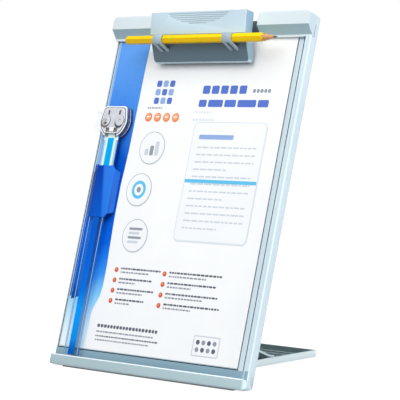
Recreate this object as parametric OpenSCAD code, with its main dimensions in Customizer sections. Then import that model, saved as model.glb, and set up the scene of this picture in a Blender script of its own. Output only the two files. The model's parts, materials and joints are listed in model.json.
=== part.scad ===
// A free-standing copy stand for one upright page: a tilted board with a ledge, a sprung
// clip with pencil hooks, a swinging line guide on a slider, and a folding leg behind.
// Board pieces are drawn in the board's own frame: X across, Y up the board, Z out of its
// face, with Y = 0 at the top of the ledge's lip and Z = 0 at the face of the board.

/* [Page and panel] */
// Width of the page that the board is made for
page_w = 210; // [180:1:230]
// Height of the page that the board is made for
page_h = 297; // [288:1:330]
// Margin of the panel that shows at the left of the page
page_margin = 3.4; // [1:0.1:8]
// Thickness of the printed card
card_t = 0.4; // [0.2:0.1:0.5]
// Height of the card's lower edge above the panel's lower edge
card_rise = 0.6; // [0:0.1:5]
// Thickness of the panel
panel_t = 1.2; // [0.8:0.1:1.8]
// Dark gap all round the panel
panel_gap = 0.9; // [0.4:0.1:1.2]
// Height of the panel's lower edge above the lip of the ledge
panel_rise = 7.8; // [5:0.1:20]

/* [Board] */
// Height of the back plate above the page's upper edge
plate_over = 6.4; // [6:0.1:10]
// Thickness of the back plate, ribs included
plate_t = 4; // [3.6:0.1:5]
// Depth of the pockets between the ribs on the back
pocket_depth = 1.4; // [0.8:0.1:1.6]
// Width of the ribs on the back
rib_w = 2.4; // [1.5:0.1:5]
// Width of the thin edge at the left of the panel
left_edge_w = 1.3; // [1:0.1:3]
// Width of the flat strip between the panel and the right rail
strip_w = 5.2; // [3:0.1:10]
// Width of the groove beside the right rail
groove_w = 1; // [0.6:0.1:1.6]
// Depth of the groove beside the right rail
groove_depth = 1.8; // [0.8:0.1:2]
// Width of the right rail
rail_w = 9.3; // [8:0.1:14]
// Height of the right rail above the face
rail_h = 4.5; // [3:0.1:4.5]
// Angle of the board from the table
board_angle = 73.6; // [70:0.1:76]

/* [Ledge] */
// Height of the ledge, from its lip down to its underside
ledge_h = 9.5; // [8:0.1:14]
// Reach of the ledge in front of the face
ledge_reach = 7.6; // [7.2:0.1:12]
// Thickness of the ledge's lip
lip_t = 2; // [1.5:0.1:3]
// Depth of the page channel below the lip
channel_depth = 6.9; // [4:0.1:7]
// Radius of the ledge's outer corners
ledge_r = 4; // [1:0.1:4]
// Radius of the ledge's front edges, seen from the side
ledge_edge_r = 1.5; // [0.6:0.1:2]
// Distance in front of the face where the underside turns flat on the table
land_w = 3.3; // [2:0.1:5]
// Thickness of the anti-slip pad under the ledge
pad_t = 1.1; // [0.5:0.1:1.4]
// Depth of that pad, from front to back
pad_w = 6; // [3:0.5:7]
// Distance from each end of the ledge to the pad
pad_inset = 15; // [5:1:40]

/* [Header] */
// Height that the header covers at the top of the back plate
header_cover = 16.2; // [15:0.1:22]
// Height of the header above the back plate
header_cap = 5.4; // [3:0.1:8]
// Reach of the header's ridge in front of the face
ridge_reach = 10.8; // [9:0.1:12]
// Wall of the header
header_wall = 1.8; // [1.2:0.1:2]
// Clear width of the gap in the header where the clip sits
header_gap_w = 118; // [116:1:130]
// Reach of the header's lower lip in front of the face
header_lip = 2.9; // [2.5:0.1:4]
// Radius of the header's upper corners
header_r = 4.5; // [1:0.1:5]
// Slit between the face and the header's lower lip, where the card enters
header_slit = 0.7; // [0.6:0.1:1.2]
// Thickness of the bridge plate behind the clip
bridge_t = 1.9; // [1.2:0.1:2.2]
// Radius of the header's screws
screw_r = 1.5; // [1:0.1:1.8]
// Radius of the screws' heads
screw_head_r = 2.5; // [2:0.1:2.8]
// Length of the screws
screw_l = 10; // [8:0.5:11]

/* [Clip] */
// Width of the clip
clip_w = 112; // [100:1:116]
// Wall of the clip
clip_wall = 2; // [1.6:0.1:2.4]
// Height of the clip's upper edge above the lip of the header
clip_top_up = 19; // [18:0.1:20]
// Reach of the clip's upper edge in front of the face
clip_top_out = 24; // [22:0.1:26]
// Reach of the clip's ridge in front of the face
clip_ridge_out = 20.6; // [19.5:0.1:22]
// Distance from the lip of the header down to the clip's lower edge
jaw_down = 22.9; // [20:0.1:24]
// Reach of the clip's lower edge in front of the face
jaw_out = 8.4; // [7:0.1:9.5]
// Width of the chamfer at the clip's lower corners
clip_chamfer = 1.6; // [0.6:0.1:4]
// Radius of the clip's hinge pin
clip_pin_r = 1.5; // [1:0.1:1.8]
// Height of the pin above the lip of the header
clip_pin_up = 2; // [1.5:0.1:3]
// Reach of the pin in front of the face
clip_pin_out = 14.5; // [13:0.1:15]
// Number of stepped grip ridges on the clip
grip_rows = 6; // [3:1:7]
// Distance from one grip ridge to the next
grip_pitch = 1.75; // [1.5:0.05:1.9]
// Thickness of the clip's jaw pad
jaw_pad_t = 3; // [2.5:0.1:3]
// Height of the clip's jaw pad
jaw_pad_h = 4.6; // [3:0.1:6]
// Wire diameter of the clip's spring
wire_d = 1.2; // [0.8:0.1:1.3]
// Turns of the clip's spring
spring_turns = 5; // [3:1:8]

/* [Pencil and hooks] */
// Width of the pencil across its flats
pencil_af = 7; // [6.5:0.1:7.2]
// Length of the pencil
pencil_l = 176.3; // [150:0.1:200]
// Length of the pencil's sharpened cone
pencil_cone = 18.4; // [14:0.2:24]
// Radius of the pencil's lead
lead_r = 1; // [0.8:0.1:1.3]
// Thickness of the pencil's paint, drawn thick enough to be a piece
coat_t = 0.25; // [0.15:0.05:0.4]
// Distance of the pencil's middle to the right of the clip's middle
pencil_shift = 7.2; // [-10:0.1:10]
// Distance from the lip of the header down to the pencil's middle
pencil_down = 5.9; // [5:0.1:8]
// Width of each pencil hook
hook_w = 10; // [6:0.5:14]
// Distance from each end of the clip to the middle of its hook
hook_inset = 15; // [8:1:26]
// Thickness of the hooks' band
hook_t = 1.3; // [1:0.1:1.6]

/* [Slider and line guide] */
// Width of the slider's front
slider_w = 34; // [32:1:38]
// Height of the slider's front
slider_h = 28.5; // [27:0.5:34]
// Distance from the board's left edge to the middle of the slider
slider_in = 22.8; // [21:0.1:24]
// Width of the line guide
guide_w = 18; // [16:0.2:20]
// Thickness of the line guide
guide_t = 1.8; // [1.2:0.1:2]
// Length of the line guide below its pivot
guide_l = 211.8; // [190:0.2:212]
// Distance of the guide's pivot to the left of the slider's middle
guide_shift = 0.4; // [0:0.1:2]
// Width of the coloured line on the guide
line_w = 7.4; // [3:0.2:12]
// Tilt of the stowed guide from the board's edge
guide_tilt = 0.9; // [0:0.1:1.2]
// Radius of the guide's pivot rivet
rivet_r = 2.2; // [1.5:0.1:3]
// Length of the paper sleeve on the guide
sleeve_l = 48; // [20:1:70]
// Distance of the sleeve's upper edge below the pivot
sleeve_down = 37; // [26:1:60]
// Reach of the sleeve's left wing beyond the guide
sleeve_left = 10; // [4:0.2:11]
// Reach of the sleeve's right wing beyond the guide
sleeve_right = 6.2; // [4:0.2:6.4]
// Height by which the wings narrow towards their tips, at each end of the sleeve
wing_slant = 5.5; // [1:0.5:8]

/* [Leg] */
// Width of the leg
leg_w = 72; // [66:1:90]
// Room behind the strut's foot when the leg is folded
foot_room = 4; // [1:0.1:8]
// Radius of the leg's rear corners
leg_r = 1.5; // [1:0.1:4]
// Wall of the leg
leg_wall = 2; // [1.6:0.1:3]
// Height of the leg's walls above its hinge axis
leg_wall_up = 2; // [1.8:0.1:3]
// Length of the floor in front of the strut's foot
floor_before = 30; // [18:1:60]
// Width of each anti-slip pad under the leg
leg_pad_w = 7; // [4:0.5:8]
// Length of each anti-slip pad under the leg
leg_pad_l = 14; // [6:0.5:20]
// Thickness of the leg's anti-slip pads
leg_pad_t = 0.8; // [0.6:0.1:1]
// Part of the leg's pads that stands out below the leg
leg_pad_proud = 0.3; // [0.2:0.1:0.4]
// Distance from the leg's hinge to the foot of the strut
foot_reach = 130; // [126:0.5:131]
// Distance from the leg's hinge up the board to the strut's hinge
strut_up = 50; // [46:0.5:51]
// Width of the strut
strut_w = 56; // [40:1:58]
// Thickness of the strut's plate
strut_t = 2; // [1.6:0.1:2.4]
// Radius of the strut's foot bar
foot_r = 2.2; // [2:0.1:2.4]
// Number of notches for the strut
notches = 4; // [2:1:4]
// Distance from the strut's foot to the tooth behind it
tooth_gap = 4; // [3.5:0.1:4.5]
// Thickness of the teeth between the notches
tooth_t = 1.6; // [1:0.1:2]
// Radius of the leg's and the strut's hinge pins
hinge_pin_r = 1; // [0.8:0.1:1.2]

/* [Hidden] */
$fn = 48;
fit = 0.05;          // running clearance of a pin in its hole
air = 0.3;           // clearance between pieces that pass each other
eps = 0.01;          // overlap that keeps a cut clean

body_blue = "#c9dbe2";
clip_blue = "#bfd3dc";
steel = "#b9bdc1";
clear_grey = "#dfe6ea";

// Places across the board, from its left edge to its right edge
board_w = left_edge_w + panel_gap + page_margin + page_w + panel_gap + strip_w + groove_w + rail_w;
edge_x = board_w / 2;
panel_x0 = -edge_x + left_edge_w + panel_gap;
panel_x1 = panel_x0 + page_margin + page_w;
groove_x = panel_x1 + panel_gap + strip_w;
rail_x = groove_x + groove_w;

// Places up the board
card_y = panel_rise + card_rise;
plate_h = card_y + page_h + plate_over;
header_y = plate_h - header_cover;
panel_top = header_y + 0.6;

// Stand: the board's frame above the table, and the two hinge axes behind it
board_z = pad_t + ledge_h * sin(board_angle) - land_w * cos(board_angle);
hinge_back = plate_t + 3.6;
hinge_v = -2.6;
function to_y(v, w) = v * cos(board_angle) - w * sin(board_angle);
function to_z(v, w) = board_z + v * sin(board_angle) + w * cos(board_angle);
leg_y = to_y(hinge_v, -hinge_back);
leg_z = to_z(hinge_v, -hinge_back);
strut_y = to_y(hinge_v + strut_up, -hinge_back);
strut_z = to_z(hinge_v + strut_up, -hinge_back);
strut_l = sqrt(strut_up ^ 2 + foot_reach ^ 2 - 2 * strut_up * foot_reach * cos(board_angle));
strut_angle = atan2(leg_z - strut_z, leg_y + foot_reach - strut_y);
lug_r = 3;
lug_t = 4;
strut_lug_x = strut_w / 2 + air;
leg_lug_x = leg_w / 2 + air;
leg_floor = foot_r + 0.1;
leg_l = strut_up + strut_l + foot_r + foot_room + leg_wall;
leg_window = foot_reach - floor_before;
// The folded foot lies behind the last tooth, and the folded plate lies over all of them
folded_foot = strut_up + strut_l;
notch_pitch = (folded_foot - foot_r - 2.5 - foot_reach - tooth_gap - tooth_t) / (notches - 1);
tooth_h = leg_floor - strut_t / 2 - air;

// Clip: corners of its side, measured up from the header's lip and out from the face
clip_pin_y = header_y + clip_pin_up;
jaw_y = header_y - jaw_down;
jaw_back = jaw_pad_t + 0.6;
clip_front = [[clip_top_up, clip_top_out], [-0.7, clip_ridge_out], [-jaw_down, jaw_out]];
clip_side = concat(clip_front, [[-jaw_down, jaw_back], [5 - jaw_down, jaw_back],
    [clip_pin_up + 0.7, clip_pin_out - 2.8], [clip_top_up + 0.5, clip_top_out - 10]]);
front_slope = (clip_front[1][1] - clip_front[2][1]) / (clip_front[1][0] - clip_front[2][0]);
clip_ear_x = clip_w / 2 - 13;

// Pencil: one of its flats lies just off the clip's lower face, under the ridge
function face_out(y) = clip_front[1][1] + (y - header_y - clip_front[1][0]) * front_slope;
pencil_r = pencil_af / 2 / cos(30);
pencil_y = header_y - pencil_down;
pencil_out = face_out(pencil_y) + (pencil_af / 2 + 0.2) * sqrt(1 + front_slope ^ 2);
hook_r = pencil_r + air;
hook_out = clip_w / 2 - hook_inset;

// Slider and guide
slider_x = -edge_x + slider_in;
guide_y = guide_l + 1;
slider_y = guide_y + 4.4;
guide_dip = guide_y - slider_y;
guide_back = rail_h + air;
cap_back = guide_back + guide_t + air;
cap_t = 1.8;
guide_end_r = guide_w / 2;
shoe_t = 2.2;
shoe_back = plate_t + air;
track_x = -edge_x + 4.5;
track_w = 3;

// Points of an arc about (x, y) from angle a0 to a1
function arc(x, y, r, a0, a1, n = 6) =
    [for (i = [0:n]) [x + r * cos(a0 + (a1 - a0) * i / n), y + r * sin(a0 + (a1 - a0) * i / n)]];

module on_board() {
    translate([0, 0, board_z]) rotate([board_angle, 0, 0]) children();
}

// Draws a side profile, given as [up, out], from x0 to x1 across the board
module across(x0, x1) {
    translate([x0, 0, 0]) rotate([90, 0, 90]) linear_extrude(x1 - x0) children();
}

// Draws a profile seen along the board, given as [across, out], from y0 to y1 up the board
module along(y0, y1) {
    translate([0, y1, 0]) rotate([90, 0, 0]) linear_extrude(y1 - y0) children();
}

// A pin or bore along X, centred on x = 0 unless shifted
module rod(r, l) {
    rotate([0, 90, 0]) cylinder(r = r, h = l, center = true);
}

module slab(x0, x1, y0, y1, z0, z1) {
    translate([x0, y0, z0]) cube([x1 - x0, y1 - y0, z1 - z0]);
}

// The plain outline of a rounded front, with its upper corners rounded by r
module round_top(x0, x1, y0, y1, r) {
    polygon(concat([[x0, y0], [x1, y0]], arc(x1 - r, y1 - r, r, 0, 90), arc(x0 + r, y1 - r, r, 90, 180)));
}

// Board

// Back plate and ledge, seen from the side
module plate_profile() {
    r = ledge_edge_r;
    lip_r = lip_t / 8;
    polygon(concat(
        arc(-r, ledge_reach - r, r, 90, 0),
        arc(-lip_r, ledge_reach - lip_t + lip_r, lip_r, 0, -90, 3),
        [[-channel_depth, ledge_reach - lip_t], [-channel_depth, 0], [plate_h, 0],
         [plate_h, -plate_t], [-ledge_h, -plate_t]],
        arc(-ledge_h + r, ledge_reach - r, r, 180, 90)));
}

// Upper corner of the lip, to be cut off at one end; side is -1 for the left and 1 for the right
module lip_corner(side, r) {
    x = side * (edge_x - r);
    translate([0, 0, rail_h - 0.1]) linear_extrude(ledge_reach) difference() {
        translate([side > 0 ? x : x - r - 1, -r]) square([r + 1, r + 1]);
        translate([x, -r]) circle(r);
    }
}

// Back plate and ledge with rounded corners, cut level where they stand on the pad. The channel
// ends at the rail, where the ledge is closed.
module plate_and_ledge() {
    r = min(ledge_r, ledge_h / 2 - 0.4);
    x = edge_x - r;
    low = r - ledge_h;
    front = ledge_reach - r;
    difference() {
        plate_and_square_ledge(x, low, front, r);
        for (side = [-1, 1]) lip_corner(side, r);
    }
}

module plate_and_square_ledge(x, low, front, r) {
    intersection() {
        union() {
            across(-edge_x, edge_x) plate_profile();
            slab(rail_x + 0.2, edge_x + 1, -channel_depth - 0.1, -0.6, -1, ledge_reach - lip_t + 0.4);
        }
        translate([0, 0, -plate_t - 1]) linear_extrude(ledge_reach + plate_t + 2)
            polygon(concat([[edge_x, plate_h + 1], [-edge_x, plate_h + 1]],
                arc(-x, low, r, 180, 270), arc(x, low, r, 270, 360)));
        along(-ledge_h - 1, plate_h + 1)
            polygon(concat([[-edge_x, -plate_t - 1], [edge_x, -plate_t - 1]],
                arc(x, front, r, 0, 90), arc(-x, front, r, 90, 180)));
        rotate([-board_angle, 0, 0])
            slab(-edge_x - 1, edge_x + 1, -60, plate_h, pad_t - board_z, plate_h + 1);
    }
}

module rail_profile() {
    crest = rail_w * 0.54;
    bead = 0.5;
    polygon(concat([[rail_x, -1], [rail_x, 0.4]],
        [[edge_x - crest - bead, rail_h - 0.7]],
        arc(edge_x - crest, rail_h - bead, bead, 150, 30, 3),
        [[edge_x - crest + 1.1, rail_h - 0.3]],
        arc(edge_x - 1.2, rail_h - 1.2, 1.2, 90, 0),
        [[edge_x, -1]]));
}

// A lug with a pin hole at the origin, standing on the back of the plate
module lug(reach) {
    across(-lug_t / 2, lug_t / 2) difference() {
        union() {
            circle(lug_r);
            translate([-lug_r, 0]) square([2 * lug_r, reach]);
        }
        circle(hinge_pin_r);
    }
}

// Holds the clip's pin over the page: its foot stands above the page's upper edge
module clip_ear() {
    foot_y = card_y + page_h + 0.8;
    across(-1.5, 1.5) difference() {
        polygon(concat([[plate_h - 0.3, -1], [foot_y, -1], [foot_y, 0], [foot_y - 2, 4]],
            arc(clip_pin_y, clip_pin_out, 3, 222, 42, 10), [[plate_h - 0.3, 5]]));
        translate([clip_pin_y, clip_pin_out]) circle(clip_pin_r);
    }
}

// Screw places through the back plate into the header
screw_y = plate_h - 3.1;
screw_places = [for (s = [-1, 1], f = [0.15, 0.85])
    [s * (header_gap_w / 2 + f * (edge_x - header_gap_w / 2)), screw_y]];

// Closes the gap behind the clip: a plate over the page's upper edge, joined to the back plate above it
bridge_out = header_slit + bridge_t;

module header_bridge() {
    x = header_gap_w / 2;
    y1 = plate_h - 0.8;
    slab(-x, x, header_y + 0.4, y1, header_slit, bridge_out);
    slab(-x, x, card_y + page_h + 0.8, y1, -1, bridge_out);
}

module back_pockets() {
    rows = 5;
    side_x0 = leg_w / 2 + lug_t + 4;
    side_x1 = edge_x - 12;
    y0 = 8;
    y1 = header_y + 4;
    step = (y1 - y0) / rows;
    for (side = [-1, 1], i = [0:rows - 1])
        translate([side > 0 ? side_x0 : -side_x1, y0 + i * step, -plate_t - 1])
            cube([side_x1 - side_x0, step - rib_w, pocket_depth + 1]);
    mid_y = leg_l + 8;
    mid_step = (y1 - mid_y) / 2;
    for (i = [0:1])
        translate([-side_x0 + rib_w, mid_y + i * mid_step, -plate_t - 1])
            cube([2 * (side_x0 - rib_w), mid_step - rib_w, pocket_depth + 1]);
}

module board_frame() {
    color(body_blue) on_board() difference() {
        union() {
            plate_and_ledge();
            along(-channel_depth - 0.1, header_y) rail_profile();
            header_bridge();
            for (side = [-1, 1]) {
                translate([side * (leg_lug_x + lug_t / 2), hinge_v, -hinge_back]) lug(hinge_back - 1);
                translate([side * (strut_lug_x + lug_t / 2), hinge_v + strut_up, -hinge_back])
                    lug(hinge_back - 1);
                translate([side * clip_ear_x, 0, 0]) clip_ear();
            }
        }
        slab(-edge_x + left_edge_w, panel_x1 + panel_gap, panel_rise - panel_gap, panel_top + panel_gap,
            -panel_t, 10 * eps);
        slab(groove_x, rail_x, 0, header_y, -groove_depth, rail_h + 1);
        back_pockets();
        slab(track_x, track_x + track_w, -ledge_h - 1, header_y, -plate_t - 1, -plate_t + pocket_depth);
        for (p = screw_places) translate([p[0], p[1], -plate_t - 1]) {
            cylinder(r = screw_r + fit, h = plate_t + 2);
            cylinder(r = screw_head_r + air, h = 1 + pocket_depth);
        }
    }
}

module panel() {
    color("#dfeaee") on_board() slab(panel_x0, panel_x1, panel_rise, panel_top, -panel_t, 0);
}

module display_card() {
    color("white") on_board()
        slab(panel_x1 - page_w, panel_x1, card_y, card_y + page_h, 0, card_t);
}

module ledge_pads() {
    wide = 2 * (edge_x - pad_inset);
    land_y0 = to_y(-ledge_h, land_w) + 0.6;
    color("#4a4f52") translate([-wide / 2, land_y0, 0]) cube([wide, pad_w, pad_t]);
}

// Header

// The header's side profile
module hood_profile() {
    top = header_cover + header_cap;
    r = 2.2;
    polygon(concat([[header_y, header_slit], [header_y, header_lip]],
        [[header_y + 1.7, header_lip + 0.6], [header_y + 9, ridge_reach]],
        arc(header_y + top - r, ridge_reach - r, r, 90, 20),
        [[plate_h + 1.6, -plate_t], [plate_h, -plate_t], [plate_h, 0]],
        [[plate_h - 5.2, 0], [plate_h - 5.6, header_slit]]));
}

module hood_hollow() {
    top = header_cover + header_cap;
    w = header_wall;
    polygon([[header_y + w + 1.6, -eps], [header_y + w + 1.6, header_lip + 0.3],
        [header_y + 9 + w, ridge_reach - w],
        [header_y + top - w, ridge_reach - w], [header_y + top - w - 0.6, 4], [plate_h - 0.2, -eps]]);
}

module hood_block(x0, x1) {
    wall = header_wall;
    intersection() {
        difference() {
            across(x0, x1) hood_profile();
            across(x0 + wall, x1 - wall) hood_hollow();
        }
        translate([0, 0, -plate_t - 1]) linear_extrude(plate_t + ridge_reach + 2)
            round_top(x0, x1, header_y - 1, plate_h + header_cap + eps, header_r);
    }
}

// One half of the header; side is -1 for the left and 1 for the right
module header_half(side) {
    gap_x = header_gap_w / 2;
    places = [for (p = screw_places) if (p[0] * side > 0) p];
    color(body_blue) on_board() difference() {
        union() {
            hood_block(side > 0 ? gap_x : -edge_x, side > 0 ? edge_x : -gap_x);
            for (p = places) translate([p[0], p[1], 0])
                cylinder(r = screw_r + 1.4, h = ridge_reach - header_wall / 2);
        }
        for (p = places) translate([p[0], p[1], -1]) cylinder(r = screw_r, h = screw_l - 1);
        slab(rail_x - air, edge_x + 1, header_y - 1, header_y + air, -1, 4);
    }
}

module header_left() {
    header_half(-1);
}

module header_right() {
    header_half(1);
}

module header_screws() {
    color(steel) on_board() for (p = screw_places) translate([p[0], p[1], -plate_t + 0.1]) {
        difference() {
            cylinder(r = screw_head_r, h = pocket_depth - 0.1);
            for (a = [0, 90]) rotate([0, 0, a])
                cube([1.3 * screw_head_r, 0.28 * screw_head_r, pocket_depth], center = true);
        }
        cylinder(r = screw_r, h = screw_l);
    }
}

// Clip

module clip_outline() {
    polygon([for (p = clip_side) [header_y + p[0], p[1]]]);
}

// The V of the clip's two plates, seen from the side
module clip_plates() {
    w = clip_wall;
    f = [for (p = clip_front) [header_y + p[0], p[1]]];
    polygon([f[0], f[1], f[2], [jaw_y, jaw_back], [jaw_y + w, jaw_back],
        [jaw_y + w, f[2][1] - w * 0.2], [f[1][0] + w * 0.2, f[1][1] - w * 1.25],
        [f[0][0] - 0.2, f[0][1] - w * 1.05]]);
}

// The grip: an arc of stepped grooves near the upper edge
module clip_grip() {
    slope = atan2(clip_front[0][1] - clip_front[1][1], clip_front[0][0] - clip_front[1][0]);
    radius = 39;
    for (i = [0:grip_rows - 1]) {
        drop = 1.4 + i * grip_pitch;
        half = sqrt(max(radius ^ 2 - (radius * 0.42 + drop * 2.1) ^ 2, 100)) * 1.06;
        translate([0, header_y + clip_front[0][0], clip_front[0][1]]) rotate([slope, 0, 0])
            translate([-half, -drop - grip_pitch * 0.6, 0]) rotate([14, 0, 0])
                translate([0, 0, -0.45]) cube([2 * half, grip_pitch * 0.62, 2]);
    }
}

module clip_cover() {
    rib_x = clip_ear_x + 1.5 + air;
    color(clip_blue) on_board() difference() {
        union() {
            across(-clip_w / 2, clip_w / 2) clip_plates();
            for (side = [-1, 1])
                translate([side * (clip_w / 2 - clip_wall / 2), 0, 0])
                    across(-clip_wall / 2, clip_wall / 2) clip_outline();
            for (side = [-1, 1]) translate([side > 0 ? rib_x : -rib_x - 3, 0, 0]) intersection() {
                across(0, 3) clip_outline();
                across(0, 3) translate([clip_pin_y - 4, clip_pin_out - 3.6]) square([8, 12]);
            }
        }
        clip_grip();
        translate([0, clip_pin_y, clip_pin_out]) rod(clip_pin_r + fit, 2 * (rib_x + 3.5));
        for (side = [-1, 1]) translate([side * clip_w / 2, jaw_y, 0])
            rotate([0, 0, 45]) cube([clip_chamfer * sqrt(2), clip_chamfer * sqrt(2), 60], center = true);
    }
}

module clip_jaw_pad() {
    wide = clip_w - 2 * clip_wall - 8;
    color("#5b6468") on_board()
        slab(-wide / 2, wide / 2, jaw_y + 0.4, jaw_y + 0.4 + jaw_pad_h, jaw_back - jaw_pad_t, jaw_back);
}

module clip_pin() {
    color(steel) on_board() translate([0, clip_pin_y, clip_pin_out])
        rod(clip_pin_r, 2 * (clip_ear_x + 1.5 + air + 3));
}

// The spring's wire: one helix about the pin, with a straight leg at each end, one on the bridge
coil_r = clip_pin_r + wire_d / 2 + 1.1;
coil_pitch = wire_d + 0.55;
leg_in = 30;
leg_out = 360 * spring_turns - 53;
coil_rings = 12 * spring_turns;
bridge_leg = (clip_pin_out - bridge_out - fit + (coil_r - wire_d / 2) * sin(leg_in)) / cos(leg_in);
function coil_point(a) = [coil_pitch * (a - (leg_in + leg_out) / 2) / 360, coil_r * cos(a), coil_r * sin(a)];
function coil_way(a) = [0, -sin(a), cos(a)];
wire_path = concat(
    [coil_point(leg_in) - bridge_leg * coil_way(leg_in), coil_point(leg_in) - 1 * coil_way(leg_in)],
    [for (i = [0:coil_rings]) coil_point(leg_in + (leg_out - leg_in) * i / coil_rings)],
    [coil_point(leg_out) + 1 * coil_way(leg_out), coil_point(leg_out) + 12.5 * coil_way(leg_out)]);
least_gap = min([for (i = [2:coil_rings - 8], j = [i + 7:coil_rings + 2])
    norm(wire_path[i] - wire_path[j])]);
echo(spring_least_gap = least_gap - wire_d);

module tube(path, r, sides = 6) {
    last = len(path) - 1;
    rings = [for (i = [0:last])
        let (d = path[min(i + 1, last)] - path[max(i - 1, 0)], t = d / norm(d),
             side = cross(t, [1, 0, 0]), s = side / norm(side), up = cross(s, t))
        for (k = [0:sides - 1]) path[i] + r * (cos(360 * k / sides) * s + sin(360 * k / sides) * up)];
    walls = [for (i = [0:last - 1], k = [0:sides - 1]) let (n = (k + 1) % sides, a = i * sides)
        each [[a + k, a + n, a + sides + n], [a + k, a + sides + n, a + sides + k]]];
    ends = [[for (k = [sides - 1:-1:0]) k], [for (k = [0:sides - 1]) last * sides + k]];
    polyhedron(rings, concat(walls, ends));
}

module clip_spring() {
    color(steel) on_board() translate([0, clip_pin_y, clip_pin_out]) tube(wire_path, wire_d / 2);
}

// Pencil and its hooks

// The foot of a hook meets the clip's lower face this far under the pencil's middle
hook_foot = 8.6;

module hook_profile() {
    outer = hook_r + hook_t;
    foot_y = pencil_y - hook_foot;
    polygon(concat(
        arc(pencil_y, pencil_out, hook_r, 40, 178, 14),
        [[foot_y + 2.2, face_out(foot_y + 2.2)]],
        [[foot_y, face_out(foot_y)]],
        arc(pencil_y, pencil_out, outer, 172, 40, 14)));
}

module hook(x) {
    on_board() difference() {
        across(x - hook_w / 2, x + hook_w / 2) hook_profile();
        slab(x - hook_w * 0.17, x + hook_w * 0.17, pencil_y - hook_foot - 3, pencil_y - hook_r * 0.7, 10,
            pencil_out + 2.6);
    }
}

module pencil_hook_left() {
    color("#a9bfca") hook(-hook_out);
}

module pencil_hook_right() {
    color("#a9bfca") hook(hook_out);
}

module at_pencil() {
    on_board() translate([pencil_shift - pencil_l / 2, pencil_y, pencil_out]) rotate([0, 90, 0]) children();
}

// The cone that sharpens the pencil, with its tip at the pencil's end
module sharpener(grow) {
    full = pencil_r + 1;
    l = pencil_cone * full / pencil_r;
    translate([0, 0, -1]) cylinder(r = full + grow, h = pencil_l - l + 1);
    translate([0, 0, pencil_l - l]) cylinder(r1 = full + grow, r2 = grow, h = l);
}

module hexagon(af, l) {
    cylinder(r = af / 2 / cos(30), h = l, $fn = 6);
}

tip_blunt = 0.6;

module pencil_coat() {
    color("#f7c600") at_pencil() intersection() {
        difference() {
            hexagon(pencil_af, pencil_l);
            translate([0, 0, -1]) hexagon(pencil_af - 2 * coat_t, pencil_l + 2);
        }
        sharpener(0);
    }
}

module pencil_wood() {
    color("#d9a066") at_pencil() difference() {
        intersection() {
            hexagon(pencil_af - 2 * coat_t, pencil_l);
            sharpener(0);
        }
        translate([0, 0, -1]) cylinder(r = lead_r, h = pencil_l + 2);
    }
}

module pencil_lead() {
    color("#3c3c40") at_pencil() intersection() {
        cylinder(r = lead_r, h = pencil_l - tip_blunt);
        sharpener(0);
    }
}

// Slider and line guide

// A shield: flat at the top, with bowed sides that close towards a short lower edge
module slider_outline() {
    half = slider_w / 2;
    top = slider_h / 2;
    drop = (top + 0.45) / sin(60);
    bow = [for (i = [0:8]) let (a = 7.5 * i) [1 + (half - 1) * cos(a), 1.5 - drop * sin(a)]];
    polygon(concat(
        arc(-half + 6, top - 4, 4, 90, 150),
        [for (p = bow) [-p[0], p[1]]],
        [[-half / 3, -top], [half / 3, -top]],
        [for (i = [8:-1:0]) bow[i]],
        arc(half - 6, top - 4, 4, 30, 90)));
}

module at_slider() {
    on_board() translate([slider_x, slider_y, 0]) children();
}

latch_x = 6.8;
latch_y = 8.3;
disc_r = 5.2;

module slider_cap() {
    rim = 1.4;
    color(clear_grey) at_slider() difference() {
        union() {
            translate([0, 0, cap_back]) linear_extrude(cap_t) slider_outline();
            for (side = [-1, 1]) translate([side * 8.6, 0.6, cap_back]) cylinder(r = disc_r, h = cap_t + 0.8);
        }
        for (side = [-1, 1]) translate([side * latch_x, latch_y, cap_back + cap_t / 2])
            cube([1.5, 4.2, 2 * cap_t], center = true);
        for (side = [-1, 1]) translate([side * 8.6, 0.6, cap_back + cap_t + 0.3]) cylinder(r = 1.1, h = 2);
        slab(-7.2, 7.2, -slider_h, -slider_h / 2 + 8, cap_back + cap_t - 0.9, cap_back + cap_t + 1);
        slab(-4.6, 4.6, -slider_h, -slider_h / 2 + 5, cap_back - 1, cap_back + cap_t + 1);
        translate([0, 0, cap_back + cap_t - 0.4]) linear_extrude(1) difference() {
            square([slider_w + 2, slider_h + 2], center = true);
            offset(delta = -rim) slider_outline();
        }
    }
}

// The part of the slider's outline outside the sweep of the guide
module slider_web() {
    sweep = guide_end_r + air;
    difference() {
        slider_outline();
        translate([-guide_shift, guide_dip]) {
            circle(sweep);
            translate([-sweep, -slider_h]) square([2 * slider_w, slider_h]);
            translate([0, -sweep]) square([slider_w + sweep, 2 * sweep]);
        }
    }
}

module slider_carriage() {
    wall_x = -edge_x - air - shoe_t - slider_x;
    wall_top = cap_back - 1.6;
    floor_z = card_t + air;
    tongue_x = track_x + track_w - air - slider_x;
    y0 = -9;
    y1 = 10;
    color("#e8edf0") at_slider() {
        difference() {
            union() {
                translate([0, 0, floor_z]) linear_extrude(guide_back - air / 2 - floor_z) slider_outline();
                translate([0, 0, floor_z]) linear_extrude(cap_back - floor_z) slider_web();
                slab(wall_x, -slider_w / 2 + 3.4, y0, y1, floor_z, wall_top);
                slab(wall_x, wall_x + shoe_t, y0, y1, -shoe_back - shoe_t, wall_top);
                slab(wall_x, tongue_x + 3, y0, y1, -shoe_back - shoe_t, -shoe_back);
                slab(tongue_x - track_w + 2 * air, tongue_x, y0, y1, -shoe_back - 1,
                    -plate_t + pocket_depth - air);
                for (side = [-1, 1]) translate([side * latch_x, latch_y, cap_back + cap_t / 2 + 0.2])
                    cube([1.1, 3.6, cap_t + 0.7], center = true);
            }
            translate([-guide_shift, guide_dip, 0]) cylinder(r = rivet_r, h = 40, center = true);
        }
    }
}

module guide_rivet() {
    color(steel) at_slider() translate([-guide_shift, guide_dip, card_t + air + 0.4])
        cylinder(r = rivet_r, h = cap_back - card_t - air - 0.5);
}

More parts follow.
